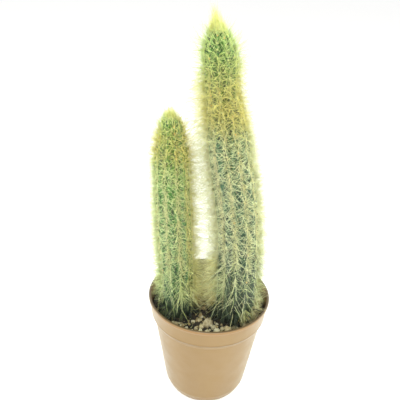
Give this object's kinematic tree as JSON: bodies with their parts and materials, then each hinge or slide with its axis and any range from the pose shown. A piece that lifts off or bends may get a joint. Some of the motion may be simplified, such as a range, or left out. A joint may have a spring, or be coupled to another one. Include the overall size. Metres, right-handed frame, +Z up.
{
  "type": "potted golden snake cactus",
  "caption": "Golden snake cactus in a pot: upright ribbed green columns of unequal height, covered in golden spines, in gritty soil in a tapered terracotta-coloured plastic nursery pot.",
  "frame": {"origin": "centre of the pot's underside, on the surface that the pot stands on", "axes": "+Z up, +X to the right seen from the front, +Y away from the viewer; the stems stand in a row along X, a little in front of the pot's middle"},
  "size_m": [0.105, 0.105, 0.333],
  "materials": {
    "pot_plastic": "satin terracotta-coloured moulded plastic",
    "soil": "dark damp potting mix with pale grit",
    "grit": "matt tan and grey stones",
    "tall_skin": "waxy bluish-green stem skin",
    "short_skin": "waxy fresh green stem skin",
    "spines": "fine translucent golden spines",
    "areoles": "short tan felt of the areoles"
  },
  "bodies": {
    "root": {"pot": "pot_plastic", "potting_mix": "soil", "tall_stem": "tall_skin", "short_stem": "short_skin"}
  },
  "joints": []
}
